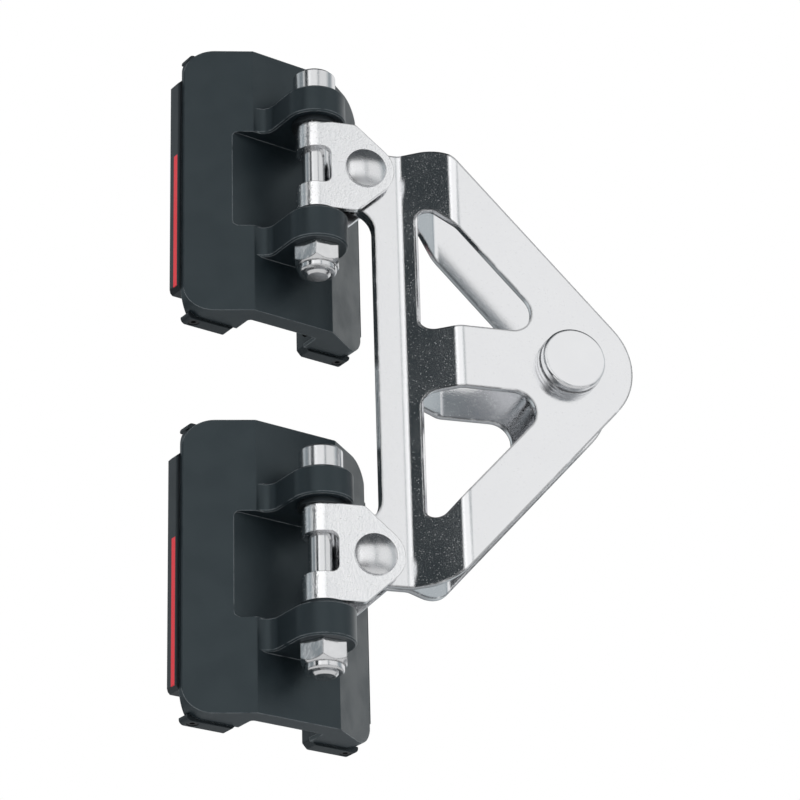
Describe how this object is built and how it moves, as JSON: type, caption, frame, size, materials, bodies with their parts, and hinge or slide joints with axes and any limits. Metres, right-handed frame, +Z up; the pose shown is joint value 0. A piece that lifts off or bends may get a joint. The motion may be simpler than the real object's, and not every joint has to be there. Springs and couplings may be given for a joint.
{
  "type": "sail headboard car",
  "caption": "Sail headboard car: channel-section track cars with hinged toggles carry a joggled triangular bracket with open windows and a cross pin for the headboard.",
  "frame": {"origin": "middle of the headboard pin, half way between the side plates and half way between the cars", "axes": "+X aft along the bracket, away from the mast; +Y along the headboard pin, away from its head; +Z up the mast"},
  "size_m": [0.1348, 0.0572, 0.218],
  "materials": {
    "anodised_body": "satin hard anodised",
    "strip": "satin with a red stripe",
    "cap_plastic": "moulded",
    "ball_plastic": "smooth",
    "nylon": "smooth",
    "washer_plastic": "smooth",
    "fastener_steel": "bright",
    "black_fastener": "black oxide",
    "toggle_steel": "tumbled",
    "polished_steel": "mirror polished"
  },
  "bodies": {
    "bracket": {"near_side_plate": "polished_steel", "far_side_plate": "polished_steel", "headboard_pin": "polished_steel", "pin_washer": "fastener_steel", "retaining_ring": "fastener_steel"},
    "upper_link": {"upper_toggle": "toggle_steel", "upper_rivet": "fastener_steel", "upper_rivet_spacers": "washer_plastic"},
    "upper_car": {"upper_car_body": "anodised_body", "upper_left_side_strip": "strip", "upper_right_side_strip": "strip", "upper_top_left_end_cap": "cap_plastic", "upper_top_right_end_cap": "cap_plastic", "upper_bottom_left_end_cap": "cap_plastic", "upper_bottom_right_end_cap": "cap_plastic", "upper_end_cap_screws": "black_fastener", "upper_left_balls": "ball_plastic", "upper_right_balls": "ball_plastic", "upper_left_ball_retainer": "cap_plastic", "upper_right_ball_retainer": "cap_plastic", "upper_toggle_screw": "fastener_steel", "upper_lock_nut": "fastener_steel", "upper_nut_insert": "nylon", "upper_top_thrust_washer": "washer_plastic", "upper_bottom_thrust_washer": "washer_plastic"},
    "lower_link": {"lower_toggle": "toggle_steel", "lower_rivet": "fastener_steel", "lower_rivet_spacers": "washer_plastic"},
    "lower_car": {"lower_car_body": "anodised_body", "lower_left_side_strip": "strip", "lower_right_side_strip": "strip", "lower_top_left_end_cap": "cap_plastic", "lower_top_right_end_cap": "cap_plastic", "lower_bottom_left_end_cap": "cap_plastic", "lower_bottom_right_end_cap": "cap_plastic", "lower_end_cap_screws": "black_fastener", "lower_left_balls": "ball_plastic", "lower_right_balls": "ball_plastic", "lower_left_ball_retainer": "cap_plastic", "lower_right_ball_retainer": "cap_plastic", "lower_toggle_screw": "fastener_steel", "lower_lock_nut": "fastener_steel", "lower_nut_insert": "nylon", "lower_top_thrust_washer": "washer_plastic", "lower_bottom_thrust_washer": "washer_plastic"}
  },
  "joints": [
    {"name": "upper_rivet_hinge", "type": "hinge", "parent": "bracket", "child": "upper_link", "pos_m": [-0.0594, 0, 0.0631], "axis": [0, 1, 0], "range_deg": [-12, 12]},
    {"name": "upper_screw_hinge", "type": "hinge", "parent": "upper_link", "child": "upper_car", "pos_m": [-0.0736, 0, 0.0631], "axis": [0, 0, 1], "range_deg": [-18.9, 161.1]},
    {"name": "lower_rivet_hinge", "type": "hinge", "parent": "bracket", "child": "lower_link", "pos_m": [-0.0594, 0, -0.0631], "axis": [0, 1, 0], "range_deg": [-12, 12]},
    {"name": "lower_screw_hinge", "type": "hinge", "parent": "lower_link", "child": "lower_car", "pos_m": [-0.0736, 0, -0.0631], "axis": [0, 0, 1], "range_deg": [-18.9, 161.1]}
  ]
}
